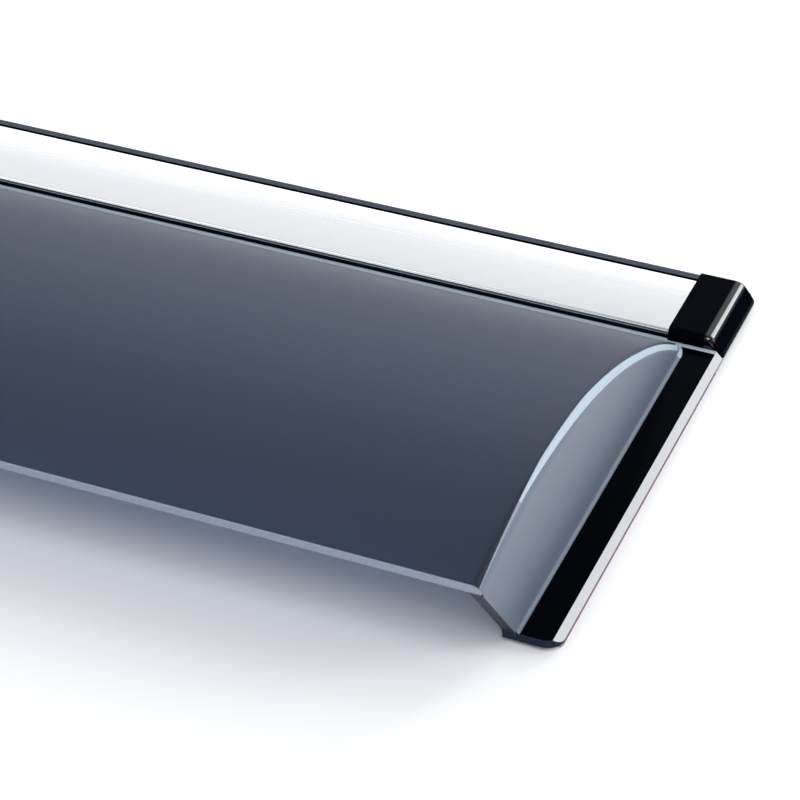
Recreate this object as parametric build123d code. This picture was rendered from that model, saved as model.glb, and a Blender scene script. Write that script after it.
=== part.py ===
"""Window rain deflector: a smoked acrylic shield that is taped over the top of a car's side window.

X runs along the door, Y up the door to the bright trim, Z out from the door.
The part lies on its tape, with the release liners at Z = 0 and the origin under its middle.
"""

from build123d import *
from math import sqrt
import os

# Smoked acrylic moulding
overall_length = 710.0
wall = 2.2
shade_radius = 117.0
shade_rise = 24.5
shade_drop = 28.6
free_edge_round = 0.5
free_edge_bevel = 0.4
end_round = 1.8
foot_fillet = 0.7

# Flanges of the moulding
flange_thickness = 1.5
root_gap = 1.1
rim_width = 2.0
rim_height = 1.7
end_flange_width = 7.2
end_flange_below_crown = 13.1
flange_bevel = 1.2
flange_corner = 3.0
wall_foot_round = 4.0

# Bright trim and its core
trim_width = 17.5
trim_height = 1.7
steel_thickness = 0.4
steel_edge_height = 0.8
steel_bend = 0.6

# End caps
cap_length = 10.4
cap_above_trim = 0.8
cap_below_trim = 0.6
cap_slope_run = 2.5
cap_foot_height = 0.6
cap_roll = 2.4
cap_foot_round = 1.5
cap_round = 1.0
cap_skirt = 1.2
trim_in_cap = 5.0
fit_clearance = 0.1

# Foam tape and its release liner
tape_thickness = 1.1
liner_thickness = 0.15
liner_overhang = 0.3
upper_tape_width = 12.0
upper_tape_edge_gap = 4.75
upper_tape_end_gap = 3.0
end_tape_width = 5.6
end_tape_edge_gap = 0.5
end_tape_end_gap = 2.6

# Heights above the liners' underside
seat = liner_thickness + tape_thickness
face = seat + flange_thickness
crown = face + shade_rise
centre_height = crown - shade_radius
trim_top = face + trim_height
cap_top = trim_top + cap_above_trim

# Places along the door, from the middle to one end
half_length = overall_length / 2
wall_face = half_length - end_flange_width
wall_back = wall_face - wall
cap_start = half_length - cap_length
trim_end = cap_start + trim_in_cap

# Places up the door, from the free edge to the top
inner_radius = shade_radius - wall
foot_run = sqrt(shade_radius**2 - (shade_radius - shade_rise) ** 2)
overall_height = shade_drop + foot_run + root_gap + trim_width + rim_width
free_edge = -overall_height / 2
crown_line = free_edge + shade_drop
root_line = crown_line + foot_run
trim_low = root_line + root_gap
trim_high = trim_low + trim_width
top_edge = trim_high + rim_width
flange_foot = crown_line - end_flange_below_crown
cap_low = trim_low - cap_below_trim


def arc_height(radius, away):
    """Height of the shade's arc of a given radius at a distance from the crown line."""
    return centre_height + sqrt(radius**2 - away**2)


def arc_reach(radius, height):
    """Distance from the crown line at which an arc of a given radius comes down to a height."""
    return sqrt(radius**2 - (height - centre_height) ** 2)


def at_free_edge(radius):
    """Point of the free edge face that lies at a given radius of the shade, as (Y, Z)."""
    share = radius / shade_radius
    drop_height = arc_height(shade_radius, shade_drop) - centre_height
    return (crown_line - share * shade_drop, centre_height + share * drop_height)


def block(x_range, y_range, z_range):
    """Plain block between two limits on each axis."""
    size = [high - low for low, high in (x_range, y_range, z_range)]
    middle = [(high + low) / 2 for low, high in (x_range, y_range, z_range)]
    return Pos(*middle) * Box(*size)


def mirrored(piece):
    """The same piece at the other end of the deflector."""
    return mirror(piece, Plane.YZ)


def same(one, other):
    """True where two lengths agree to well under a micrometre."""
    return abs(one - other) < 1e-4


def shade_block():
    """Solid below the shade's outer arc, with both ends rounded over into the end walls."""
    foot = (crown_line + arc_reach(shade_radius, seat), seat)
    deep_radius = shade_radius - (arc_height(shade_radius, shade_drop) - seat)
    with BuildPart() as solid:
        with BuildSketch(Plane.YZ):
            with BuildLine():
                ThreePointArc(at_free_edge(shade_radius), (crown_line, crown), foot)
                Polyline(foot, at_free_edge(deep_radius), at_free_edge(shade_radius))
            make_face()
        extrude(amount=wall_face, both=True)
        arcs = solid.edges().filter_by(GeomType.CIRCLE)
        fillet([e for e in arcs if same(abs(e.center().X), wall_face)], end_round)
        edge_face = solid.faces().filter_by(GeomType.PLANE).sort_by(Axis.Y)[0]
        fillet([e for e in edge_face.edges() if e.center().Z > seat + wall], free_edge_round)
    return solid.part


def flange_plate():
    """Flat plate of the upper and end flanges, bevelled along the outer side of each end."""
    with BuildPart() as plate:
        with BuildSketch(Plane.XY.offset(seat)):
            with Locations((0, (flange_foot + top_edge) / 2)):
                Rectangle(overall_length, top_edge - flange_foot)
            corners = [v for v in vertices() if same(v.Y, flange_foot)]
            fillet(corners, flange_corner)
        extrude(amount=flange_thickness)
    return plate.part - side_bevel() - mirrored(side_bevel())


def side_bevel():
    """Wedge cut from the outer side of an end flange, which runs out at the flange's rounded corner."""
    outside = half_length + flange_bevel
    corners = [
        (half_length - 2 * flange_bevel, face + flange_bevel),
        (outside, face + flange_bevel),
        (outside, face - 2 * flange_bevel),
    ]
    with BuildPart() as wedge:
        with BuildSketch(Plane.XZ.offset(-top_edge)):
            with BuildLine():
                Polyline(*corners, close=True)
            make_face()
        extrude(amount=overall_height)
    return wedge.part


def shade_hollow():
    """Space behind the shade, open to the door and along the free edge."""
    low = seat - wall
    start = (crown_line + arc_reach(inner_radius, low), low)
    bevel_away = shade_drop * inner_radius / shade_radius - free_edge_bevel
    bevel_start = Vector(crown_line - bevel_away, arc_height(inner_radius, bevel_away))
    bevel_end = Vector(*at_free_edge(inner_radius + free_edge_bevel))
    beyond = bevel_end + (bevel_end - bevel_start).normalized() * wall
    with BuildPart() as hollow:
        with BuildSketch(Plane.YZ):
            with BuildLine():
                ThreePointArc(start, (crown_line, crown - wall), bevel_start)
                Polyline(bevel_start, beyond, (beyond.X, low), start)
            make_face()
        extrude(amount=wall_back, both=True)
    return hollow.part


def end_wall_cut():
    """Corner that is missing from an end wall between the free edge and the foot of its flange."""
    tip = at_free_edge(inner_radius)
    outside = free_edge - wall
    below = seat - wall
    corners = [tip, (flange_foot, face), (flange_foot, below), (outside, below), (outside, tip[1])]
    with BuildPart() as cut:
        with BuildSketch(Plane.YZ.offset(wall_back)):
            with BuildLine():
                Polyline(*corners, close=True)
            make_face()
            foot = [v for v in vertices() if same(v.X, flange_foot) and same(v.Y, face)]
            fillet(foot, wall_foot_round)
        extrude(amount=wall)
    return cut.part


def at_shade_foot(point):
    """True where a corner lies on the flanges' outer face, at the foot of the shade or of an end wall."""
    inside = abs(point.X) < wall_face + 1e-4 and point.Y < root_line + 1e-4
    return inside and same(point.Z, face)


def shield():
    """The whole acrylic moulding: shade, end walls, flanges and the rim beside the trim."""
    rim = block((-cap_start, cap_start), (trim_high, top_edge), (face, face + rim_height))
    body = shade_block() + flange_plate() + rim
    body = fillet([e for e in body.edges() if all(at_shade_foot(v) for v in e.vertices())], foot_fillet)
    notch = block(
        (half_length - cap_skirt - fit_clearance, half_length + wall),
        (cap_low - fit_clearance, top_edge + wall),
        (seat - wall, face + wall),
    )
    body = body - shade_hollow() - end_wall_cut() - mirrored(end_wall_cut()) - notch - mirrored(notch)
    return body


def bright_trim():
    """Steel strip with both long edges rolled down over the core."""
    inside = steel_bend - steel_thickness
    width = trim_width - 2 * steel_thickness
    middle = (trim_low + trim_high) / 2
    under = trim_top - steel_thickness
    with BuildPart() as strip:
        with BuildSketch(Plane.YZ):
            with Locations((middle, trim_top - steel_edge_height / 2)):
                Rectangle(trim_width, steel_edge_height)
            fillet([v for v in vertices() if same(v.Y, trim_top)], steel_bend)
            with BuildSketch(mode=Mode.PRIVATE) as hollow:
                with Locations((middle, under - steel_edge_height / 2)):
                    Rectangle(width, steel_edge_height)
                fillet([v for v in vertices() if same(v.Y, under)], inside)
            add(hollow.sketch, mode=Mode.SUBTRACT)
        extrude(amount=trim_end, both=True)
    return strip.part


def trim_core():
    """Black backing that fills the strip and shows as a dark line below its rolled edge."""
    inside = steel_bend - steel_thickness
    ledge = trim_top - steel_edge_height
    low_step = block((-trim_end, trim_end), (trim_low, trim_high), (face, ledge))
    inner = (trim_low + steel_thickness, trim_high - steel_thickness)
    upper = block((-trim_end, trim_end), inner, (ledge, trim_top - steel_thickness))
    long_edges = upper.edges().filter_by(Axis.X)
    upper = chamfer([e for e in long_edges if e.center().Z > ledge + 1e-4], inside)
    return low_step + upper


def end_cap():
    """Gloss black cap over the end of the trim, sloping down over the end of the flange."""
    brow = (half_length - cap_slope_run, cap_top)
    foot = (half_length, seat + cap_foot_height)
    profile = [
        (cap_start, face),
        (cap_start, cap_top),
        brow,
        foot,
        (half_length, seat),
        (half_length - cap_skirt, seat),
        (half_length - cap_skirt, face),
    ]
    with BuildPart() as cap:
        with BuildSketch(Plane.XZ.offset(-top_edge)):
            with BuildLine():
                Polyline(*profile, close=True)
            make_face()
            fillet([v for v in vertices() if same(v.X, brow[0]) and same(v.Y, cap_top)], cap_roll)
            fillet([v for v in vertices() if same(v.X, half_length) and same(v.Y, foot[1])], cap_foot_round)
        extrude(amount=top_edge - cap_low)
        sides = [e for e in cap.edges() if same(e.center().Y, top_edge) or same(e.center().Y, cap_low)]
        over = [e for e in sides if e.center().X > cap_start + 1e-4 and e.center().Z > face + 1e-4]
        down = [e for e in sides if e.center().X > half_length - cap_skirt / 2 + 1e-4 and e.center().Z < face]
        fillet(over + down, cap_round)
    pocket = block(
        (cap_start - wall, trim_end + fit_clearance),
        (trim_low - fit_clearance, trim_high + fit_clearance),
        (face - wall, trim_top + fit_clearance),
    )
    return cap.part - pocket


def strip(x_range, y_range, margin, z_range):
    """Flat strip of tape or liner between two limits, grown by a margin on every side."""
    grown = [(low - margin, high + margin) for low, high in (x_range, y_range)]
    return block(grown[0], grown[1], z_range)


def tape_places():
    """Where each length of tape lies, as its limits along X and along Y."""
    reach = half_length - cap_skirt - upper_tape_end_gap
    upper_edge = top_edge - upper_tape_edge_gap
    outer = half_length - end_tape_edge_gap
    upper = ((-reach, reach), (upper_edge - upper_tape_width, upper_edge))
    right = ((outer - end_tape_width, outer), (flange_foot + end_tape_end_gap, cap_low - end_tape_end_gap))
    left = ((-outer, end_tape_width - outer), right[1])
    return {"upper": upper, "end_right": right, "end_left": left}


pieces = {
    "shield": shield(),
    "bright_trim": bright_trim(),
    "trim_core": trim_core(),
    "end_cap_right": end_cap(),
    "end_cap_left": mirrored(end_cap()),
}
for place, (x_range, y_range) in tape_places().items():
    pieces[place + "_tape"] = strip(x_range, y_range, 0, (liner_thickness, seat))
    pieces[place + "_liner"] = strip(x_range, y_range, liner_overhang, (0, liner_thickness))

os.makedirs("parts", exist_ok=True)
for name, piece in pieces.items():
    export_step(piece, "parts/" + name + ".step")
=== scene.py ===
"""Dressed scene of a window rain deflector: smoked shield, bright trim, end caps, tape and release film."""

import logging
import math
from dataclasses import dataclass, field
from enum import Enum, IntEnum

import bmesh
import bpy
import numpy as np
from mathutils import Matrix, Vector


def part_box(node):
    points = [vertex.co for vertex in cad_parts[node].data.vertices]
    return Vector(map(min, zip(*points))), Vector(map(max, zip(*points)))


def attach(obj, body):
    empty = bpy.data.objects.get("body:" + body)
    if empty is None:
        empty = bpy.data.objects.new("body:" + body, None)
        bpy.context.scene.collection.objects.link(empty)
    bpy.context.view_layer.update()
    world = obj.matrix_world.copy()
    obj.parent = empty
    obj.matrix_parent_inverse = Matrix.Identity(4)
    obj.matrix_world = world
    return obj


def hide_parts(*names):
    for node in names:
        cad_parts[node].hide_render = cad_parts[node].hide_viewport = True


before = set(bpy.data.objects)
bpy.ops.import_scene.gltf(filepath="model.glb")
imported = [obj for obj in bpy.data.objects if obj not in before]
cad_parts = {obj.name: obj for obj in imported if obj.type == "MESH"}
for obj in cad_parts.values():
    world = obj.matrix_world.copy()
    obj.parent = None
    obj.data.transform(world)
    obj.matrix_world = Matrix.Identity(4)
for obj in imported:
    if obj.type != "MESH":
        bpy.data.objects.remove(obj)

logging.basicConfig(level=logging.INFO, format="%(name)s: %(message)s")
log = logging.getLogger("rain_deflector")

MM = 0.001
BODY = "root"
SNAP_DIGITS = 4
SHARP_ANGLE = math.radians(35)
FADE_START, FADE_END = 0.3, 0.7
X, Y, Z = np.eye(3)

Colour = tuple[float, float, float, float]
Point = tuple[float, float, float]
Line = tuple[tuple[float, ...], tuple[float, ...]]


class Slot(Enum):
    """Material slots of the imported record."""

    ACRYLIC = "smoked_acrylic"
    STEEL = "bright_stainless"
    FOAM = "black_foam_tape"
    FILM = "red_release_film"


class Face(IntEnum):
    """Which of the shield's finishes a face takes."""

    POLISHED = 0
    SATIN = 1
    TAPED_AND_SHADE = 2
    CUT = 3
    RIM = 4
    PAINTED_HIGHLIGHT = 5
    PAINTED_BEVEL_REFLECTION = 6


class Socket(Enum):
    """Kinds of input that the Geometry Nodes trees take."""

    VECTOR = "NodeSocketVector"
    NUMBER = "NodeSocketFloat"
    MATERIAL = "NodeSocketMaterial"


def linear(colour: str) -> Colour:
    """Turns an sRGB hex colour into linear light.

    Args:
        colour: Six hex digits, with or without a leading hash.

    Returns:
        Linear red, green and blue, with an alpha of one.
    """
    digits = colour.lstrip("#")
    channels = [int(digits[i : i + 2], 16) / 255 for i in (0, 2, 4)]
    light = [c / 12.92 if c <= 0.04045 else ((c + 0.055) / 1.055) ** 2.4 for c in channels]
    return (light[0], light[1], light[2], 1.0)


def grey(level: float) -> Colour:
    """Returns the grey of a linear level, for a ramp that gives a number."""
    return (level, level, level, 1.0)


def add_node(
    tree: bpy.types.NodeTree, kind: str, settings: dict[str, object] | None = None, **links: object
) -> bpy.types.Node:
    """Adds a node with its settings, input values and links.

    Args:
        tree: The node tree that gets the node.
        kind: Blender's type name of the node.
        settings: Properties of the node itself; stops are a colour ramp's positions and colours.
        links: Input name, with underscores for spaces, to sockets to link or a value to set. A name such
            as _1 picks an input by its number.

    Returns:
        The new node.
    """
    node = tree.nodes.new(kind)
    for name, value in (settings or {}).items():
        if name != "stops":
            setattr(node, name, value)
            continue
        elements = node.color_ramp.elements
        while len(elements) < len(value):
            elements.new(0.5)
        for element, (position, colour) in zip(elements, sorted(value.items())):
            element.position, element.color = position, colour
    for name, value in links.items():
        key = int(name[1:]) if name[1:].isdigit() else name.replace("_", " ")
        socket = node.inputs[key]
        for end in value if isinstance(value, list) else [value]:
            if isinstance(end, bpy.types.NodeSocket):
                tree.links.new(end, socket)
            else:
                socket.default_value = end
    return node


@dataclass(frozen=True)
class Finish:
    """What every finish has: a name, and a Principled shader that its pattern and relief feed."""

    name: str = "plain"
    colour: str = "#808080"
    roughness: float = 0.4
    specular: float = 0.5
    depth_mm: float = 0.01

    def material(self) -> bpy.types.Material:
        """Makes the finish.

        Returns:
            The finished material.
        """
        material = bpy.data.materials.new(self.name)
        material.use_nodes = True
        tree = material.node_tree
        tree.nodes.clear()
        inputs = {
            "Base_Color": linear(self.colour),
            "Roughness": self.roughness,
            "Specular_IOR_Level": self.specular,
            **self.pattern(tree),
        }
        if "Height" in inputs:
            depth = {"Height": inputs.pop("Height"), "Strength": 1.0, "Distance": self.depth_mm * MM}
            inputs["Normal"] = add_node(tree, "ShaderNodeBump", **depth).outputs[0]
        shader = add_node(tree, "ShaderNodeBsdfPrincipled", **inputs)
        add_node(tree, "ShaderNodeOutputMaterial", Surface=self.surface(tree, shader.outputs[0]))
        return material

    def pattern(self, tree: bpy.types.NodeTree) -> dict[str, object]:
        """Returns the shader inputs that differ from the plain ones, and the Height of any relief."""
        return {}

    def surface(self, tree: bpy.types.NodeTree, shader: bpy.types.NodeSocket) -> bpy.types.NodeSocket:
        """Returns what the output shows: the shader alone, unless a finish adds to it."""
        return shader

    def grain(self, tree: bpy.types.NodeTree, size_mm: Point, detail: float = 0.0) -> bpy.types.NodeSocket:
        """Adds noise of a real size.

        Args:
            tree: The material's node tree.
            size_mm: How large a grain is along each axis.
            detail: How many finer layers it has.

        Returns:
            The noise, from 0 to 1.
        """
        place = add_node(tree, "ShaderNodeTexCoord").outputs["Object"]
        scale = tuple(1 / (s * MM) for s in size_mm)
        scaled = add_node(tree, "ShaderNodeMapping", Vector=place, Scale=scale).outputs[0]
        return add_node(tree, "ShaderNodeTexNoise", Vector=scaled, Scale=1.0, Detail=detail).outputs[0]


@dataclass(frozen=True)
class SmokedAcrylic(Finish):
    """Smoked resin from a polished mould: a deep slate that lets light through and mirrors the sky softly."""

    name: str = "moulded_smoked_acrylic"
    colour: str = "#4A5F7A"
    roughness: float = 0.5
    depth_mm: float = 0.012
    sheen: str = "#DCEEFF"
    ior: float = 1.49
    wave_mm: Point = (18.0, 18.0, 18.0)

    def pattern(self, tree: bpy.types.NodeTree) -> dict[str, object]:
        """Makes clear tinted resin with the faint long waves that moulding leaves.

        Args:
            tree: The material's node tree.

        Returns:
            The shader inputs.
        """
        return {
            "IOR": self.ior,
            "Transmission_Weight": 1.0,
            "Specular_Tint": linear(self.sheen),
            "Height": self.grain(tree, self.wave_mm),
        }


@dataclass(frozen=True)
class TapedAndShadedAcrylic(Finish):
    """Smoked resin with black tape behind it reads as jet black; on the rim beside the trim, with no tape
    behind, the same jet black is painted shade.
    """

    name: str = "smoked_acrylic_over_tape_and_painted_shade"
    colour: str = "#040509"
    roughness: float = 0.12
    specular: float = 0.01
    depth_mm: float = 0.012
    wave_mm: Point = (14.0, 14.0, 14.0)

    def pattern(self, tree: bpy.types.NodeTree) -> dict[str, object]:
        """Returns the faint long waves that moulding leaves."""
        return {"Height": self.grain(tree, self.wave_mm)}


@dataclass(frozen=True)
class GrainedFinish(Finish):
    """A finish whose grain, of a real size, fades between two shades and stands in relief."""

    dark: str = "#808080"
    light: str = "#808080"
    grain_mm: Point = (1.0, 1.0, 1.0)
    grain_detail: float = 2.0

    def pattern(self, tree: bpy.types.NodeTree) -> dict[str, object]:
        """Makes the grain.

        Args:
            tree: The material's node tree.

        Returns:
            The shader inputs.
        """
        grain = self.grain(tree, self.grain_mm, self.grain_detail)
        shades = {FADE_START: linear(self.dark), FADE_END: linear(self.light)}
        colour = add_node(tree, "ShaderNodeValToRGB", {"stops": shades}, Fac=grain).outputs[0]
        return {"Base_Color": colour, "Height": grain}


@dataclass(frozen=True)
class SatinAcrylic(GrainedFinish):
    """Spark-eroded mould face: the same resin with a fine grain, painted an even pale slate grey that stands
    in for the reflection of the lit floor.

    The real grain is near 0.1 mm and is drawn coarser so that it shows.
    """

    name: str = "spark_textured_acrylic_painted_reflection"
    dark: str = "#687382"
    light: str = "#707C8B"
    roughness: float = 0.42
    specular: float = 0.4
    grain_mm: Point = (0.4, 0.4, 0.4)


@dataclass(frozen=True)
class SawnAcrylic(SatinAcrylic):
    """Sawn edge, seen through the depth of the resin: a dark slate with hardly any gloss."""

    name: str = "sawn_acrylic_edge"
    dark: str = "#1A2331"
    light: str = "#253042"
    specular: float = 0.05


@dataclass(frozen=True)
class SandedHighlightAcrylic(SatinAcrylic):
    """Sanded edge: a pale grey line, partly the sanded edge's own pale tone and partly a painted highlight
    where the edge would catch the light.
    """

    name: str = "sanded_acrylic_edge_painted_highlight"
    dark: str = "#8A96A6"
    light: str = "#94A0B0"


@dataclass(frozen=True)
class PaintedHighlightAcrylic(SatinAcrylic):
    """Painted highlight: a pale blue line painted on the end round, the root and beside the cap, where the
    lamps' highlight would show.
    """

    name: str = "painted_highlight_acrylic_round"
    dark: str = "#B0C1CF"
    light: str = "#BACBD9"
    specular: float = 0.3


@dataclass(frozen=True)
class MilledReflectionAcrylic(SatinAcrylic):
    """Milled bevel: a frosted cut, painted near white as a painted reflection of the lit surroundings."""

    name: str = "milled_acrylic_bevel_painted_reflection"
    dark: str = "#CACCCE"
    light: str = "#D2D4D6"
    specular: float = 0.3


@dataclass(frozen=True)
class ExtrudedPvc(GrainedFinish):
    """Black extruded PVC: a dull black with die lines along its length."""

    name: str = "extruded_black_pvc"
    dark: str = "#060709"
    light: str = "#0C0D10"
    roughness: float = 0.5
    specular: float = 0.02
    grain_mm: Point = (80.0, 0.3, 0.3)


@dataclass(frozen=True)
class ReleaseFilm(GrainedFinish):
    """Red polyethylene liner: a rosy satin film, embossed so that the tape lets go, paler at its heights."""

    name: str = "embossed_release_film"
    dark: str = "#CFABB4"
    light: str = "#DFC0C8"
    roughness: float = 0.38
    depth_mm: float = 0.03
    grain_mm: Point = (0.7, 0.7, 0.7)
    grain_detail: float = 0.0


@dataclass(frozen=True)
class FoamTape(GrainedFinish):
    """Closed-cell acrylic foam: a dead black with open cells on the cut side."""

    name: str = "black_acrylic_foam"
    dark: str = "#030304"
    light: str = "#101114"
    roughness: float = 0.85
    specular: float = 0.15
    depth_mm: float = 0.08
    grain_mm: Point = (0.35, 0.35, 0.35)

    def grain(self, tree: bpy.types.NodeTree, size_mm: Point, detail: float = 0.0) -> bpy.types.NodeSocket:
        """Adds cells in place of noise.

        Args:
            tree: The material's node tree.
            size_mm: How large a cell is along each axis, all of them alike.
            detail: Not used, since cells have no finer layers.

        Returns:
            The distance from the middle of a cell.
        """
        place = add_node(tree, "ShaderNodeTexCoord").outputs["Object"]
        scale = 1 / (size_mm[0] * MM)
        return add_node(tree, "ShaderNodeTexVoronoi", Vector=place, Scale=scale).outputs["Distance"]


@dataclass(frozen=True)
class RolledSteel(Finish):
    """Bright-annealed stainless, rolled lengthways: a white mirror with hair-fine lines along the strip.

    The real lines are finer than 0.2 mm and are drawn coarser so that they show.
    """

    name: str = "bright_rolled_stainless"
    colour: str = "#F8F9FA"
    depth_mm: float = 0.001
    line_mm: Point = (60.0, 0.2, 0.2)
    line_detail: float = 2.0
    smooth: float = 0.10
    dull: float = 0.18

    def pattern(self, tree: bpy.types.NodeTree) -> dict[str, object]:
        """Makes the rolling lines, which vary the gloss.

        Args:
            tree: The material's node tree.

        Returns:
            The shader inputs.
        """
        lines = self.grain(tree, self.line_mm, self.line_detail)
        stops = {FADE_START: grey(self.smooth), FADE_END: grey(self.dull)}
        gloss = add_node(tree, "ShaderNodeValToRGB", {"stops": stops}, Fac=lines).outputs[0]
        return {"Metallic": 1.0, "Roughness": gloss, "Height": lines}


@dataclass(frozen=True)
class MouldedAbs(Finish):
    """Gloss black ABS: near black, with a sharp light along the cap's roll and a very faint orange peel."""

    name: str = "gloss_moulded_abs"
    colour: str = "#03050B"
    roughness: float = 0.07
    specular: float = 0.01
    depth_mm: float = 0.004
    roll_specular: float = 0.8
    roll_inset_mm: tuple[float, float] = (3.8, 1.8)
    peel_mm: Point = (1.5, 1.5, 1.5)

    def pattern(self, tree: bpy.types.NodeTree) -> dict[str, object]:
        """Makes the orange peel, and the higher polish of the roll at the cap's outer edge.

        Args:
            tree: The material's node tree.

        Returns:
            The shader inputs.
        """
        place = add_node(tree, "ShaderNodeTexCoord").outputs["Object"]
        out = add_node(tree, "ShaderNodeSeparateXYZ", Vector=place).outputs["X"]
        reach = add_node(tree, "ShaderNodeMath", {"operation": "ABSOLUTE"}, _0=out).outputs[0]
        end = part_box("end_cap_right")[1].x
        start, stop = (end - inset * MM for inset in self.roll_inset_mm)
        across = add_node(tree, "ShaderNodeMapRange", Value=reach, From_Min=start, From_Max=stop).outputs[0]
        flat, roll = grey(self.specular), grey(self.roll_specular)
        stops = {0.0: flat, 0.2: roll, 0.8: roll, 1.0: flat}
        gloss = add_node(tree, "ShaderNodeValToRGB", {"stops": stops}, Fac=across).outputs[0]
        return {"Specular_IOR_Level": gloss, "Height": self.grain(tree, self.peel_mm)}


@dataclass(frozen=True)
class PaleFloor(Finish):
    """White paper sweep: a matt sheet that reads as white, with the object's soft shadow on it."""

    name: str = "pale_floor"
    colour: str = "#F4F4F5"
    roughness: float = 0.9
    specular: float = 0.0
    lift: float = 0.25

    def surface(self, tree: bpy.types.NodeTree, shader: bpy.types.NodeSocket) -> bpy.types.NodeSocket:
        """Makes the sheet a little paler to the rays that show it than to those that light the object.

        Args:
            tree: The material's node tree.
            shader: The matt sheet.

        Returns:
            The sheet with its lift.
        """
        path = add_node(tree, "ShaderNodeLightPath").outputs
        shown = path["Is Camera Ray"]
        larger = {"operation": "MAXIMUM"}
        for name in ("Is Glossy Ray", "Is Transmission Ray"):
            shown = add_node(tree, "ShaderNodeMath", larger, _0=shown, _1=path[name]).outputs[0]
        extra = add_node(tree, "ShaderNodeMath", {"operation": "MULTIPLY"}, _0=shown, _1=self.lift).outputs[0]
        paler = add_node(tree, "ShaderNodeBsdfDiffuse", Color=extra).outputs[0]
        return add_node(tree, "ShaderNodeAddShader", _0=shader, _1=paler).outputs[0]


@dataclass
class Skin:
    """Faces of a closed moulding, drawn in millimetres for its right half and mirrored to the left."""

    places: dict[Point, int] = field(default_factory=dict)
    faces: list[list[int]] = field(default_factory=list)
    normals: list[Point] = field(default_factory=list)
    finishes: list[int] = field(default_factory=list)

    def face(self, points: np.ndarray, normals: np.ndarray, finish: Face) -> None:
        """Adds one face and its mirror image.

        Args:
            points: Its corners, in order round it.
            normals: The surface's direction at each corner.
            finish: What it is dressed in.
        """
        for side in (1.0, -1.0):
            ring, leans = points * (side, 1, 1), normals * (side, 1, 1)
            loop: dict[int, Point] = {}
            for point, lean in zip(np.round(ring, SNAP_DIGITS) + 0.0, leans):
                corner = self.places.setdefault(tuple(point.tolist()), len(self.places))
                loop.setdefault(corner, tuple(lean.tolist()))
            if len(loop) < 3:
                continue
            spread = np.cross(ring - ring[0], np.roll(ring, -1, axis=0) - ring[0]).sum(axis=0)
            corners = list(loop) if spread @ leans.sum(axis=0) > 0 else list(loop)[::-1]
            self.faces.append(corners)
            self.normals.extend(loop[c] for c in corners)
            self.finishes.append(int(finish))

    def grid(
        self, points: np.ndarray, normals: np.ndarray, finish: Face | np.ndarray = Face.POLISHED
    ) -> None:
        """Adds a patch of four-sided faces.

        Args:
            points: Rows and columns of corners.
            normals: The surface's direction at each corner.
            finish: What the patch is dressed in, as one finish or as one for each column or face.
        """
        rows, columns = points.shape[0] - 1, points.shape[1] - 1
        finishes = np.broadcast_to(finish, (rows, columns))
        for i, j in np.ndindex(rows, columns):
            ring = ([i, i, i + 1, i + 1], [j, j + 1, j + 1, j])
            self.face(points[ring], normals[ring], Face(finishes[i, j]))

    def flat(self, points: list, normal: np.ndarray, finish: Face = Face.POLISHED) -> None:
        """Adds one flat face with the corners in order round it."""
        ring = np.array(points, float)
        self.face(ring, np.tile(np.array(normal, float), (len(ring), 1)), finish)

    def mesh(self, name: str) -> bpy.types.Mesh:
        """Makes a mesh of the faces.

        Args:
            name: The mesh's name.

        Returns:
            The mesh, in metres, shaded by the exact directions of its faces.
        """
        mesh = bpy.data.meshes.new(name)
        mesh.from_pydata((np.array(list(self.places)) * MM).tolist(), [], self.faces)
        mesh.polygons.foreach_set("material_index", self.finishes)
        mesh.polygons.foreach_set("use_smooth", [True] * len(self.faces))
        mesh.normals_split_custom_set(self.normals)
        return mesh


def radial(angle: float) -> np.ndarray:
    """Returns the shade's outward direction at an angle back from its crown."""
    return np.array((0, math.sin(angle), math.cos(angle)))


def along(angle: float) -> np.ndarray:
    """Returns the direction back along the shade at an angle from its crown."""
    return np.array((0, math.cos(angle), -math.sin(angle)))


def put(name: str, mesh: bpy.types.Mesh, node: str) -> bpy.types.Object:
    """Puts a finished mesh in the scene in place of a CAD node.

    Args:
        name: The new object's name.
        mesh: Its mesh, in the part's frame.
        node: The CAD node that it stands for.

    Returns:
        The new object.
    """
    piece = bpy.data.objects.new(name, mesh)
    bpy.context.scene.collection.objects.link(piece)
    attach(piece, BODY)
    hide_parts(node)
    log.info("%s: %d faces in place of %s", name, len(mesh.polygons), node)
    return piece


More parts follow.
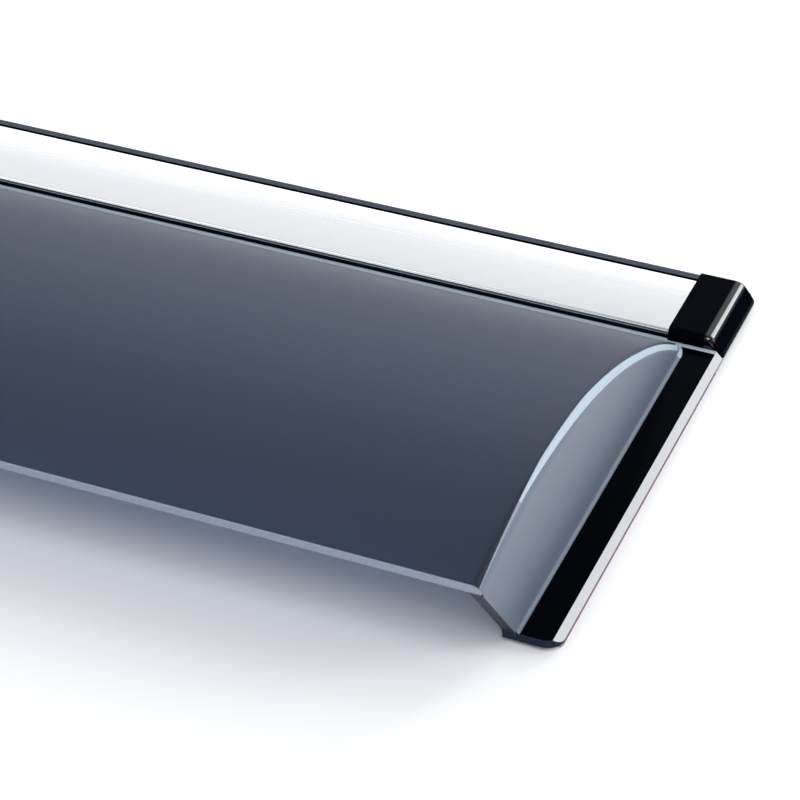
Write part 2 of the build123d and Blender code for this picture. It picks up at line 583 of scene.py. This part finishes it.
@dataclass
class Shield:
    """The smoked moulding: curved shade, end walls, flanges and rim, drawn finely for clean highlights.

    Every round is the path of a ball that rolls along the two faces it joins, so that the patches meet
    exactly. Lengths are in millimetres and angles in radians, back from the shade's crown. The painted
    highlight band on the end round, a pale line that stands in for the lamps' highlight, starts and ends at
    shares of its turn, which highlight_starts and highlight_ends give by degrees.
    """

    finishes: dict[Face, bpy.types.Material]
    wall: float = 2.2
    flange_thickness: float = 1.5
    shade_radius: float = 117.0
    shade_rise: float = 24.5
    shade_drop: float = 28.6
    edge_round: float = 0.5
    edge_bevel: float = 0.4
    end_round: float = 1.8
    foot_fillet: float = 0.7
    root_gap: float = 1.1
    rim_height: float = 1.7
    rim_round: float = 0.3
    end_flange_width: float = 7.2
    end_flange_below_crown: float = 13.1
    flange_bevel: float = 1.2
    flange_corner: float = 3.0
    wall_foot_round: float = 4.0
    highlight_reach: float = 1.0
    cap_skirt: float = 1.2
    clearance: float = 0.1
    highlight_starts: Line = ((-14.0, 0.0, 10.0, 24.0), (0.5, 0.12, 0.1, 0.4))
    highlight_ends: Line = ((-14.0, -4.0, 24.0), (0.53, 0.42, 0.8))
    bright_from: float = -math.radians(5)
    tip_share: float = 0.02
    long_steps: int = 30
    arc_steps: int = 96
    round_steps: int = 24
    band_steps: tuple[int, int] = (8, 16)
    edge_steps: int = 5
    bright_rows: int = 3
    fillet_steps: int = 8
    wall_steps: int = 14
    foot_steps: int = 8
    front_steps: int = 5
    bevel_steps: int = 6
    rim_steps: int = 4

    def __post_init__(self) -> None:
        """Works out the planes and angles that the patches share."""
        low, high = (np.array(corner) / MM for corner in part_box("shield"))
        trim_low, trim_high = (np.array(corner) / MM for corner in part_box("bright_trim"))
        cap_low = np.array(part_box("end_cap_right")[0]) / MM
        self.skin = Skin()
        self.half_length, self.top_edge, self.seat = high[0], high[1], low[2]
        self.trim_low, self.trim_high, self.cap_start = trim_low[1], trim_high[1], cap_low[0]
        self.face_height = self.seat + self.flange_thickness
        run = math.sqrt(self.shade_radius**2 - (self.shade_radius - self.shade_rise) ** 2)
        crown_y = self.trim_low - self.root_gap - run
        self.axis = np.array((0, crown_y, self.face_height + self.shade_rise - self.shade_radius))
        self.wall_face = self.half_length - self.end_flange_width
        self.wall_back = self.wall_face - self.wall
        self.round_start = self.wall_face - self.end_round
        self.foot = self.axis[1] - self.end_flange_below_crown
        self.brink = self.half_length - self.flange_bevel
        self.notch_x = self.half_length - self.cap_skirt - self.clearance
        self.notch_y = cap_low[1] - self.clearance
        self.ball = self.face_height + self.foot_fillet - self.axis[2]
        self.ridge = self.shade_radius - self.end_round
        self.free_angle = -math.asin(self.shade_drop / self.shade_radius)
        self.turn_angle = math.acos(self.ball / self.ridge)
        self.root_angle = math.acos(self.ball / (self.shade_radius + self.foot_fillet))
        self.columns = np.linspace(0, self.round_start, self.long_steps + 1)
        self.root_corner = self.wall_steps + self.round_steps

    def build(self) -> bpy.types.Object:
        """Draws the shield, patch by patch.

        Returns:
            The finished shield, in place of its CAD node.
        """
        self.shade()
        self.foot_bead()
        self.lower_edge()
        self.end_flange()
        self.rim()
        self.flat_faces()
        self.hollow()
        mesh = self.skin.mesh("shield_fine")
        for face in Face:
            mesh.materials.append(self.finishes[face])
        return put("shield_fine", mesh, "shield")

    def sweep(self, angle: float) -> float:
        """Returns how far the end round turns from the shade towards the end wall at an angle."""
        reach = (self.end_round + self.foot_fillet) * math.cos(angle)
        return math.acos(min(1.0, max(0.0, (self.ball - self.ridge * math.cos(angle)) / reach)))

    def band(self, angle: float) -> tuple[float, float]:
        """Returns the shares of the end round's turn between which it takes the painted highlight at an
        angle.
        """
        degrees = math.degrees(angle)
        return np.interp(degrees, *self.highlight_starts), np.interp(degrees, *self.highlight_ends)

    def outward(self, angle: float, turn: float) -> np.ndarray:
        """Returns the end round's outward direction at an angle and a turn."""
        return math.cos(turn) * radial(angle) + math.sin(turn) * X

    def on_ridge(self, angle: float) -> np.ndarray:
        """Returns the centre of the end round's ball at an angle."""
        return self.axis + self.round_start * X + self.ridge * radial(angle)

    def shade(self) -> None:
        """Adds the outside of the shade, from the free edge's round to the root, with the end round."""
        rows = []
        for lean in np.linspace(math.pi / 2, 0, self.edge_steps + 1):
            back = math.asin(self.edge_round * (1 - math.sin(lean)) / self.shade_radius)
            rows.append((self.free_angle + back, self.edge_round * (1 - math.cos(lean)), lean))
        arc = np.linspace(rows[-1][0], self.turn_angle, self.arc_steps + 1)
        tail = np.linspace(self.turn_angle, self.root_angle, self.round_steps + 1)
        rows += [(angle, 0.0, 0.0) for angle in (*arc[1:], *tail[1:])]
        ribs = [self.rib(*row) for row in rows]
        self.ribs = np.array([points for points, _ in ribs])
        kinds = np.full((len(rows) - 1, self.ribs.shape[1] - 1), Face.POLISHED)
        first, last = (self.long_steps + step for step in self.band_steps)
        bright = [angle > self.bright_from for angle, _, _ in rows[1:]]
        # The band on the end round is painted pale: a painted highlight, pale blue above bright_from and a
        # dimmer painted pale grey below it.
        kinds[:, first:last] = np.where(bright, Face.PAINTED_HIGHLIGHT, Face.RIM)[:, None]
        # Beyond the band the end round takes the end wall's painted pale slate, a painted reflection.
        kinds[:, last:] = Face.SATIN
        # The free edge's round is painted pale grey: partly sanded tone, partly painted highlight.
        kinds[: self.bright_rows] = Face.RIM
        self.skin.grid(self.ribs, np.array([normals for _, normals in ribs]), kinds)

    def rib(self, angle: float, inset: float, lean: float) -> tuple[np.ndarray, np.ndarray]:
        """Draws one line of the shade from its middle to the end of the end round.

        Args:
            angle: Where it is, back from the crown.
            inset: How far it lies under the shade's surface, in the free edge's round.
            lean: How far its normals lean out over the free edge.

        Returns:
            Its points and normals.
        """
        steps = (0, *self.band_steps, self.round_steps)
        shares = np.interp(np.arange(1, self.round_steps + 1), steps, (0, *self.band(angle), 1))
        turns = shares * self.sweep(angle)
        outs = [radial(angle)] * len(self.columns) + [self.outward(angle, t) for t in turns]
        points = [self.axis + x * X + (self.shade_radius - inset) * radial(angle) for x in self.columns]
        points += [self.on_ridge(angle) + (self.end_round - inset) * out for out in outs[len(points) :]]
        normals = [math.cos(lean) * out - math.sin(lean) * along(angle) for out in outs]
        return np.array(points), np.array(normals)

    def foot_bead(self) -> None:
        """Adds the fillet where the end wall and the shade stand on the flange."""
        r = self.foot_fillet
        wall_x, up = self.wall_face + r, self.face_height + r
        turn_y = self.on_ridge(self.turn_angle)[1]
        wall_line = np.linspace(self.foot, turn_y, self.wall_steps + 1)[:-1]
        stations = [(np.array((wall_x, y, up)), -X) for y in wall_line]
        for angle in np.linspace(self.turn_angle, self.root_angle, self.round_steps + 1):
            out = self.outward(angle, self.sweep(angle))
            stations.append((self.on_ridge(angle) + (self.end_round + r) * out, -out))
        root = radial(self.root_angle)
        for x in self.columns[::-1][1:]:
            stations.append((self.axis + x * X + (self.shade_radius + r) * root, -root))
        aims = np.array([self.fan(touch) for _, touch in stations])
        self.bead = np.array([ball + r * fan for (ball, _), fan in zip(stations, aims)])
        turn = self.wall_steps
        # Along the end wall the bead takes the same painted pale slate, a painted reflection.
        self.skin.grid(self.bead[: turn + 1], -aims[: turn + 1], Face.SATIN)
        # The bead round the corner and along the root is painted pale: a painted highlight line.
        self.skin.grid(self.bead[turn:], -aims[turn:], Face.PAINTED_HIGHLIGHT)
        self.skin.flat([(self.wall_face, self.foot, self.face_height), *self.bead[0][::-1]], -Y, Face.CUT)

    def fan(self, touch: np.ndarray) -> np.ndarray:
        """Spreads the directions in which a ball meets the two faces that it rolls along.

        Args:
            touch: The direction from the ball's centre to its touch on the shade or the end wall.

        Returns:
            Even directions from there round to straight down.
        """
        span = math.acos(float(np.clip(-touch[2], -1, 1)))
        shares = np.linspace(0, span, self.fillet_steps + 1)
        return np.array([(math.sin(span - s) * touch - math.sin(s) * Z) / math.sin(span) for s in shares])

    def lower_edge(self) -> None:
        """Adds the end wall's lower edge and its outer face."""
        tip = self.on_ridge(self.free_angle) * (0, 1, 1)
        corner = np.array((0, self.foot, self.face_height))
        down = (corner - tip) / np.linalg.norm(corner - tip)
        out = np.array((0, down[2], -down[1]))
        turn = math.acos(-down[2])
        first = corner - self.wall_foot_round * math.tan(turn / 2) * down
        centre = first + self.wall_foot_round * out
        bends = [math.cos(a) * out - math.sin(a) * down for a in np.linspace(0, turn, self.foot_steps + 1)]
        normals = [out, out, *bends, -Y]
        points = [tip, tip + self.tip_share * (first - tip)]
        points += [centre - self.wall_foot_round * bend for bend in bends]
        self.level = points[-1][2]
        points.append(np.array((0, self.foot, self.seat)))
        self.edge = np.array([[p + self.wall_back * X, p + self.wall_face * X] for p in points])
        self.skin.grid(self.edge[1:], np.array([[n, n] for n in normals[1:]]), Face.CUT)
        last = self.ribs[:, -1]
        lip = last[: self.edge_steps + 1]
        self.skin.flat([self.edge[0, 0], *lip, self.edge[1, 1], self.edge[1, 0]], out, Face.CUT)
        top = last[self.edge_steps : self.edge_steps + self.arc_steps + 1]
        foot_line = self.bead[: self.wall_steps + 1, 0][::-1]
        heel = (self.wall_face, self.foot, self.face_height)
        # The end wall's outer face is painted pale slate: a painted reflection of the lit floor.
        self.skin.flat([*top, *foot_line[1:], heel, *self.edge[1:-1, 1][::-1]], X, Face.SATIN)

    def end_flange(self) -> None:
        """Adds the end flange's front, its bevelled side and the notch for the cap."""
        corner = np.array((self.half_length - self.flange_corner, self.foot + self.flange_corner, 0))
        fronts = (self.wall_face, self.wall_face + self.foot_fillet)
        plan = [(np.array((x, self.foot, 0)), -Y) for x in fronts]
        meet = -math.acos(1 - self.flange_bevel / self.flange_corner)
        front = np.linspace(-math.pi / 2, meet, self.front_steps + 1)
        for a in [*front, *np.linspace(meet, 0, self.bevel_steps + 1)[1:]]:
            n = np.array((math.cos(a), math.sin(a), 0))
            plan.append((corner + self.flange_corner * n, n))
        plan.append((np.array((self.half_length, self.notch_y, 0)), X))
        outline, normals = (np.array(part) for part in zip(*plan))
        tops = self.face_height - np.maximum(outline[:, 0] - self.brink, 0)
        heights = (tops, np.full(len(plan), self.level), np.full(len(plan), self.seat))
        self.sides = np.array([outline + np.outer(z, Z) for z in heights])
        self.skin.grid(self.sides, np.array([normals] * 3), Face.CUT)
        brow = np.array((self.brink, self.notch_y, self.face_height))
        bead_y = self.bead[: self.root_corner, -1, 1]
        # From here to the cap the flange is painted pale: a painted highlight.
        self.highlight_from = int(np.searchsorted(bead_y, self.notch_y - self.highlight_reach))
        highlight_corner = np.array((self.brink, bead_y[self.highlight_from], self.face_height))
        bevel_start = len(fronts) + self.front_steps
        # The bevel is painted near white: a painted reflection.
        self.skin.flat([*self.sides[0, bevel_start:], brow, highlight_corner], (X + Z) / math.sqrt(2), Face.PAINTED_BEVEL_REFLECTION)
        self.flange_top = [highlight_corner, *self.sides[0, 1 : bevel_start + 1][::-1]]
        self.highlight_side = [brow, highlight_corner]
        inner = [(self.notch_x, self.notch_y, z) for z in (self.seat, self.face_height)]
        outer = [(self.notch_x, self.top_edge, z) for z in (self.face_height, self.seat)]
        self.skin.flat([inner[0], *self.sides[::-1, -1], brow, inner[1]], Y)
        self.skin.flat([*inner, *outer], X)

    def rim(self) -> None:
        """Adds the rim above the trim, with its two small rounds, and painted black shade on its side beside
        the trim.
        """
        r, top = self.rim_round, self.face_height + self.rim_height
        profile = [(np.array((0, self.trim_high, self.face_height)), -Y)]
        for middle, start in ((self.trim_high + r, math.pi), (self.top_edge - r, math.pi / 2)):
            for a in np.linspace(start, start - math.pi / 2, self.rim_steps + 1):
                n = np.array((0, math.cos(a), math.sin(a)))
                profile.append((np.array((0, middle, top - r)) + r * n, n))
        self.rim_lines = np.array([[p + x * X for p, _ in profile] for x in (0, self.cap_start)])
        kinds = np.full(len(profile) - 1, Face.POLISHED)
        # The rim's side and inner round beside the trim are painted jet black: painted shade in the crevice.
        kinds[: self.rim_steps + 1] = Face.TAPED_AND_SHADE
        self.skin.grid(self.rim_lines, np.array([[n for _, n in profile]] * 2), kinds)

    def flat_faces(self) -> None:
        """Adds the flat faces of the rim and the flanges: a painted pale highlight beside the root and the
        cap, else black over the tape.
        """
        z, back = self.face_height, self.top_edge
        near, far = self.rim_lines[:, -1]
        rim_foot = (self.cap_start, back, z)
        notch = [(self.notch_x, back, z), (self.notch_x, self.notch_y, z)]
        self.skin.flat([*self.rim_lines[1], rim_foot], X)
        under = [(0, back, self.seat), (self.notch_x, back, self.seat)]
        self.skin.flat([*under, notch[0], rim_foot, far, near], Y)
        groove = [(self.round_start, self.trim_low, z), (0, self.trim_low, z)]
        front = [(0, self.trim_high, z), (self.cap_start, self.trim_high, z), rim_foot]
        # The strip between the root and the trim, and on round to the cap, is painted pale: a painted
        # highlight line.
        self.skin.flat([*self.bead[self.root_corner :, -1], *groove[::-1]], Z, Face.PAINTED_HIGHLIGHT)
        bend = self.bead[self.highlight_from : self.root_corner + 1, -1]
        self.skin.flat([*bend, *groove, *front, *notch, *self.highlight_side], Z, Face.PAINTED_HIGHLIGHT)
        self.skin.flat([*self.bead[: self.highlight_from + 1, -1], *self.flange_top], Z, Face.TAPED_AND_SHADE)

    def hollow(self) -> None:
        """Adds the inside of the shade, the free edge and the underside."""
        radius = self.shade_radius - self.wall
        start = -math.asin((self.shade_drop * radius / self.shade_radius - self.edge_bevel) / radius)
        end = math.acos((self.seat - self.axis[2]) / radius)
        columns = np.linspace(0, self.wall_back, self.long_steps + 1)
        angles = np.linspace(start, end, self.arc_steps + 1)
        inside = np.array([[self.axis + x * X + radius * radial(a) for x in columns] for a in angles])
        self.skin.grid(inside, np.array([[-radial(a)] * len(columns) for a in angles]))
        edge = np.array([self.axis + x * X + self.ridge * radial(self.free_angle) for x in columns])
        step = inside[0, 0] - edge[0]
        bevel = np.array((0, step[2], -step[1])) / np.linalg.norm(step)
        leans = np.tile(-np.sign(bevel[2]) * bevel, (2, len(columns), 1))
        # The free edge's inner bevel takes the same pale grey: partly sanded tone, partly painted highlight.
        self.skin.grid(np.array([edge, inside[0]]), leans, Face.RIM)
        heel = (self.wall_back, self.foot, self.seat)
        self.skin.flat([edge[-1], *inside[:, -1], heel, *self.edge[1:-1, 0][::-1]], -X)
        # The free edge's face is pale grey: partly sanded tone, partly painted highlight.
        self.skin.flat([*self.ribs[0], *edge[::-1]], -along(self.free_angle), Face.RIM)
        turns = ((self.notch_x, self.notch_y), (self.notch_x, self.top_edge), (0, self.top_edge))
        back = [(x, y, self.seat) for x, y in turns]
        self.skin.flat([heel, *self.sides[-1], *back, *inside[-1]], -Z)


@dataclass
class Grower:
    """A Geometry Nodes tree with named inputs, and the meshes that are baked from it."""

    name: str
    inputs: dict[str, Socket]

    def __post_init__(self) -> None:
        """Makes the tree with its inputs and its one output."""
        self.tree = bpy.data.node_groups.new(self.name, "GeometryNodeTree")
        for label, kind in self.inputs.items():
            self.tree.interface.new_socket(label, in_out="INPUT", socket_type=kind.value)
        self.tree.interface.new_socket("Geometry", in_out="OUTPUT", socket_type="NodeSocketGeometry")
        self.given = self.tree.nodes.new("NodeGroupInput").outputs

    def add(
        self, kind: str, settings: dict[str, object] | None = None, output: int | str = 0, **links: object
    ) -> bpy.types.NodeSocket:
        """Adds a node to the tree and returns one of its outputs."""
        return add_node(self.tree, kind, settings, **links).outputs[output]

    def close(self, shape: bpy.types.NodeSocket) -> None:
        """Ends the tree: the shape is made real and gets its material.

        Args:
            shape: The finished shape.
        """
        real = self.add("GeometryNodeRealizeInstances", Geometry=shape)
        dressed = self.add("GeometryNodeSetMaterial", Geometry=real, Material=self.given["Material"])
        add_node(self.tree, "NodeGroupOutput", Geometry=dressed)

    def bake(self, name: str, values: dict[str, object], thickness: float = 0.0) -> bpy.types.Mesh:
        """Runs the tree.

        Args:
            name: The mesh's name.
            values: A value for each of the tree's inputs.
            thickness: How thick a sheet is made, inwards, in metres; none if zero.

        Returns:
            The mesh, with smooth rounds and sharp corners.
        """
        holder = bpy.data.objects.new(name, bpy.data.meshes.new(name))
        bpy.context.scene.collection.objects.link(holder)
        grow = holder.modifiers.new("grow", "NODES")
        grow.node_group = self.tree
        for item in self.tree.interface.items_tree:
            if item.in_out == "INPUT":
                grow[item.identifier] = values[item.name]
        if thickness:
            solid = holder.modifiers.new("thickness", "SOLIDIFY")
            solid.thickness, solid.offset, solid.use_even_offset = thickness, -1.0, True
        evaluated = holder.evaluated_get(bpy.context.evaluated_depsgraph_get())
        mesh = bpy.data.meshes.new_from_object(evaluated)
        holder.modifiers.clear()
        bpy.data.objects.remove(holder)
        face_outwards(mesh)
        return mesh


def face_outwards(mesh: bpy.types.Mesh) -> None:
    """Turns a closed mesh's faces outwards, with smooth rounds and sharp corners.

    Args:
        mesh: The mesh, which is changed.
    """
    shape = bmesh.new()
    shape.from_mesh(mesh)
    bmesh.ops.recalc_face_normals(shape, faces=shape.faces)
    shape.to_mesh(mesh)
    shape.free()
    mesh.shade_smooth()
    mesh.set_sharp_from_angle(angle=SHARP_ANGLE)


@dataclass
class TrimStrip:
    """The bright strip: stainless sheet with both long edges rolled down over the core, in millimetres."""

    finish: bpy.types.Material
    thickness: float = 0.4
    bend: float = 0.6
    bend_steps: int = 10
    long_points: int = 48

    def roller(self) -> Grower:
        """Makes the tree of a strip rolled from sheet: a flat channel with bent edges, swept along a line.

        Returns:
            The tree, ready to bake.
        """
        number, vector = Socket.NUMBER, Socket.VECTOR
        strip = Grower("rolled_strip", {
            "Start": vector, "End": vector, "Width": number, "Edge": number, "Bend": number,
            "Material": Socket.MATERIAL,
        })
        given = strip.given
        right = strip.add("ShaderNodeMath", {"operation": "MULTIPLY"}, _0=given["Width"], _1=0.5)
        left = strip.add("ShaderNodeMath", {"operation": "MULTIPLY"}, _0=given["Width"], _1=-0.5)
        corners = [
            strip.add("ShaderNodeCombineXYZ", X=side, Y=edge)
            for side, edge in ((left, given["Edge"]), (left, 0.0), (right, 0.0), (right, given["Edge"]))
        ]
        ring = strip.add(
            "GeometryNodeCurvePrimitiveQuadrilateral", {"mode": "POINTS"},
            Point_1=corners[0], Point_2=corners[1], Point_3=corners[2], Point_4=corners[3],
        )
        channel = strip.add("GeometryNodeSetSplineCyclic", Geometry=ring, Cyclic=False)
        bent = strip.add(
            "GeometryNodeFilletCurve", {"mode": "POLY"},
            Curve=channel, Count=self.bend_steps, Radius=given["Bend"], Limit_Radius=True,
        )
        line = strip.add("GeometryNodeCurvePrimitiveLine", Start=given["Start"], End=given["End"])
        path = strip.add("GeometryNodeResampleCurve", {"mode": "COUNT"}, Curve=line, Count=self.long_points)
        strip.close(strip.add("GeometryNodeCurveToMesh", Curve=path, Profile_Curve=bent))
        return strip

    def build(self) -> bpy.types.Object:
        """Rolls the strip.

        Returns:
            The finished strip, in place of its CAD node.
        """
        low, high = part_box("bright_trim")
        middle = (low.y + high.y) / 2
        mesh = self.roller().bake("bright_trim_rolled", {
            "Start": (high.x, middle, high.z),
            "End": (low.x, middle, high.z),
            "Width": high.y - low.y,
            "Edge": high.z - low.z,
            "Bend": self.bend * MM,
            "Material": self.finish,
        }, self.thickness * MM)
        return put("bright_trim_rolled", mesh, "bright_trim")


@dataclass
class TapeRuns:
    """The three runs of foam tape and the film on each, in millimetres; the cut's waves are per metre."""

    foam: bpy.types.Material
    film: bpy.types.Material
    corner: float = 0.6
    foam_ragged: float = 0.12
    film_ragged: float = 0.06
    step: float = 0.9
    waves: float = 90.0
    corner_steps: int = 8

    def cutter(self) -> Grower:
        """Makes the tree of a strip cut from a roll, with round corners, a ragged cut and an even thickness.

        Returns:
            The tree, ready to bake.
        """
        number, vector = Socket.NUMBER, Socket.VECTOR
        strip = Grower("die_cut_strip", {
            "Low": vector, "High": vector, "Corner": number, "Ragged": number, "Step": number, "Seed": number,
            "Material": Socket.MATERIAL,
        })
        given = strip.given
        size = strip.add("ShaderNodeVectorMath", {"operation": "SUBTRACT"}, _0=given["High"], _1=given["Low"])
        sides = add_node(strip.tree, "ShaderNodeSeparateXYZ", Vector=size).outputs
        length, width = (
            strip.add("ShaderNodeMath", {"operation": "SUBTRACT"}, _0=sides[axis], _1=given["Ragged"])
            for axis in "XY"
        )
        ring = strip.add(
            "GeometryNodeCurvePrimitiveQuadrilateral", {"mode": "RECTANGLE"}, Width=length, Height=width,
        )
        rounded = strip.add(
            "GeometryNodeFilletCurve", {"mode": "POLY"},
            Curve=ring, Count=self.corner_steps, Radius=given["Corner"],
        )
        fine = strip.add("GeometryNodeResampleCurve", {"mode": "LENGTH"}, Curve=rounded, Length=given["Step"])
        spot = strip.add("GeometryNodeInputPosition")
        noise = strip.add(
            "ShaderNodeTexNoise", {"noise_dimensions": "4D"}, "Color",
            Vector=spot, W=given["Seed"], Scale=self.waves, Detail=2.0,
        )
        shift = strip.add("ShaderNodeVectorMath", {"operation": "SUBTRACT"}, _0=noise, _1=(0.5, 0.5, 0.5))
        level = strip.add("ShaderNodeVectorMath", {"operation": "MULTIPLY"}, _0=shift, _1=(1.0, 1.0, 0.0))
        wander = strip.add("ShaderNodeVectorMath", {"operation": "SCALE"}, _0=level, Scale=given["Ragged"])
        cut = strip.add("GeometryNodeSetPosition", Geometry=fine, Offset=wander)
        sheet = strip.add("GeometryNodeFillCurve", {"mode": "NGONS"}, Curve=cut)
        raised = strip.add(
            "GeometryNodeExtrudeMesh",
            Mesh=sheet, Offset=(0.0, 0.0, 1.0), Offset_Scale=sides["Z"], Individual=False,
        )
        base = strip.add("GeometryNodeFlipFaces", Mesh=sheet)
        both = strip.add("GeometryNodeJoinGeometry", Geometry=[base, raised])
        solid = strip.add("GeometryNodeMergeByDistance", Geometry=both, Distance=1e-6)
        middle = strip.add(
            "ShaderNodeVectorMath", {"operation": "MULTIPLY_ADD"},
            _0=size, _1=(0.5, 0.5, 0.0), _2=given["Low"],
        )
        strip.close(strip.add("GeometryNodeTransform", Geometry=solid, Translation=middle))
        return strip

    def build(self) -> list[bpy.types.Object]:
        """Cuts every run of tape and its film.

        Returns:
            The finished runs, in place of their CAD nodes.
        """
        cutter = self.cutter()
        pieces = []
        for seed, run in enumerate(("upper", "end_right", "end_left")):
            for node, finish, slot, ragged in (
                (f"{run}_tape", self.foam, Slot.FOAM, self.foam_ragged),
                (f"{run}_liner", self.film, Slot.FILM, self.film_ragged),
            ):
                low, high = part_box(node)
                mesh = cutter.bake(f"{node}_cut", {
                    "Low": low, "High": high, "Corner": self.corner * MM, "Ragged": ragged * MM,
                    "Step": self.step * MM, "Seed": float(seed), "Material": finish,
                })
                pieces.append(put(f"{node}_cut", mesh, node))
        return pieces


@dataclass
class Mouldings:
    """The pieces whose CAD shape is already right: the trim's core and the two end caps."""

    finishes: dict[str, bpy.types.Material]

    def dress(self) -> None:
        """Gives each piece its finish."""
        for name, finish in self.finishes.items():
            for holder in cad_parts[name].material_slots:
                holder.material = finish
            log.info("%s dressed in %s", name, finish.name)


def sky_direction(azimuth: float, elevation: float) -> Vector:
    """Finds a place in the sky.

    Args:
        azimuth: Degrees from the back of the part towards its right end.
        elevation: Degrees above the floor.

    Returns:
        The direction to it.
    """
    a, e = math.radians(azimuth), math.radians(elevation)
    return Vector((math.sin(a) * math.cos(e), math.cos(a) * math.cos(e), math.sin(e)))


@dataclass(frozen=True)
class Softbox:
    """A rectangular white lamp that faces the part, placed by where it stands in the sky."""

    name: str
    azimuth: float
    elevation: float
    distance: float
    size: tuple[float, float]
    radiance: float

    def build(self, middle: Vector) -> None:
        """Adds the lamp.

        Args:
            middle: The place that it faces.
        """
        aim = sky_direction(self.azimuth, self.elevation)
        light = bpy.data.lights.new(self.name, "AREA")
        light.shape = "RECTANGLE"
        light.size, light.size_y = self.size
        light.energy = self.radiance * math.pi * self.size[0] * self.size[1]
        lamp = bpy.data.objects.new(self.name, light)
        lamp.location = middle + aim * self.distance
        lamp.rotation_mode = "QUATERNION"
        lamp.rotation_quaternion = (-aim).to_track_quat("-Z", "Y")
        lamp.visible_camera = False
        bpy.context.scene.collection.objects.link(lamp)


@dataclass
class Studio:
    """Pale floor, graded soft light and the camera; the camera's azimuth is in degrees from the front."""

    middle: Point = (0.30, 0.0, 0.0)
    azimuth: float = 22.56
    elevation: float = 36.07
    lens_mm: float = 128.9
    sensor_mm: float = 36.0
    nearest: float = 0.01
    stand: Point = (0.46159, -0.36579, 0.29540)
    floor_reach: float = 6.0
    lamps: tuple[Softbox, ...] = (
        Softbox("front_softbox", 155.0, 52.0, 1.3, (0.5, 0.5), 8.5),
        Softbox("left_softbox", -100.0, 60.0, 1.3, (0.9, 0.7), 1.0),
        Softbox("low_softbox", -158.0, 25.0, 1.3, (0.9, 0.9), 1.0),
        Softbox("right_softbox", 75.0, 25.0, 1.3, (0.6, 0.6), 3.5),
        Softbox("rear_softbox", -5.0, 21.0, 1.0, (1.5, 0.25), 1.3),
        Softbox("rear_strip", 30.0, 26.0, 1.0, (0.28, 0.30), 6.0),
    )

    def build(self) -> None:
        """Makes the floor, the world, the lamps and the camera."""
        self.floor()
        self.world()
        for lamp in self.lamps:
            lamp.build(Vector(self.middle))
        self.camera()

    def floor(self) -> None:
        """Makes the pale floor."""
        r = self.floor_reach
        mesh = bpy.data.meshes.new("floor")
        mesh.from_pydata([(-r, -r, 0), (r, -r, 0), (r, r, 0), (-r, r, 0)], [], [(0, 1, 2, 3)])
        mesh.materials.append(PaleFloor().material())
        floor = bpy.data.objects.new("floor", mesh)
        bpy.context.scene.collection.objects.link(floor)

    def world(self) -> None:
        """Makes the surroundings: pale at the back, and dimmer at the horizon, overhead and at the front."""
        world = bpy.data.worlds.new("studio")
        bpy.context.scene.world = world
        world.use_nodes = True
        tree = world.node_tree
        tree.nodes.clear()
        aim = add_node(tree, "ShaderNodeTexCoord").outputs["Generated"]
        parts = add_node(tree, "ShaderNodeSeparateXYZ", Vector=aim).outputs
        heights = {
            0.0: (0.10, 0.12, 0.16, 1),
            0.09: (0.35, 0.40, 0.47, 1),
            0.33: (0.80, 0.84, 0.89, 1),
            0.50: (0.87, 0.88, 0.89, 1),
            0.58: (0.86, 0.87, 0.88, 1),
            0.70: (0.66, 0.68, 0.71, 1),
            1.0: (0.42, 0.45, 0.49, 1),
        }
        by_height = add_node(tree, "ShaderNodeValToRGB", {"stops": heights}, Fac=parts["Z"]).outputs[0]
        depth = add_node(tree, "ShaderNodeMapRange", Value=parts["Y"], From_Min=-1.0, From_Max=1.0).outputs[0]
        depths = {0.45: grey(0.28), 0.62: grey(1.0)}
        by_depth = add_node(tree, "ShaderNodeValToRGB", {"stops": depths}, Fac=depth).outputs[0]
        blend = {"data_type": "RGBA", "blend_type": "MULTIPLY"}
        sky = add_node(tree, "ShaderNodeMix", blend, _0=1.0, _6=by_height, _7=by_depth).outputs[2]
        shine = add_node(tree, "ShaderNodeBackground", Color=sky, Strength=1.0)
        add_node(tree, "ShaderNodeOutputWorld", Surface=shine.outputs[0])

    def camera(self) -> None:
        """Sets the camera at the viewing angle."""
        back = sky_direction(180.0 - self.azimuth, self.elevation)
        data = bpy.data.cameras.new("camera")
        data.lens, data.sensor_width, data.clip_start = self.lens_mm, self.sensor_mm, self.nearest
        camera = bpy.data.objects.new("camera", data)
        camera.location = self.stand
        camera.rotation_mode = "QUATERNION"
        camera.rotation_quaternion = (-back).to_track_quat("-Z", "Y")
        bpy.context.scene.collection.objects.link(camera)
        bpy.context.scene.camera = camera
        bpy.context.scene.view_settings.view_transform = "Standard"


def main() -> None:
    """Builds and dresses every piece, then sets the studio."""
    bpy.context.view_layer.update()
    Shield({
        Face.POLISHED: SmokedAcrylic().material(),
        Face.SATIN: SatinAcrylic().material(),
        Face.TAPED_AND_SHADE: TapedAndShadedAcrylic().material(),
        Face.CUT: SawnAcrylic().material(),
        Face.RIM: SandedHighlightAcrylic().material(),
        Face.PAINTED_HIGHLIGHT: PaintedHighlightAcrylic().material(),
        Face.PAINTED_BEVEL_REFLECTION: MilledReflectionAcrylic().material(),
    }).build()
    TrimStrip(RolledSteel().material()).build()
    TapeRuns(FoamTape().material(), ReleaseFilm().material()).build()
    gloss = MouldedAbs().material()
    Mouldings({"trim_core": ExtrudedPvc().material(), "end_cap_right": gloss, "end_cap_left": gloss}).dress()
    Studio().build()


if __name__ == "__main__":
    main()
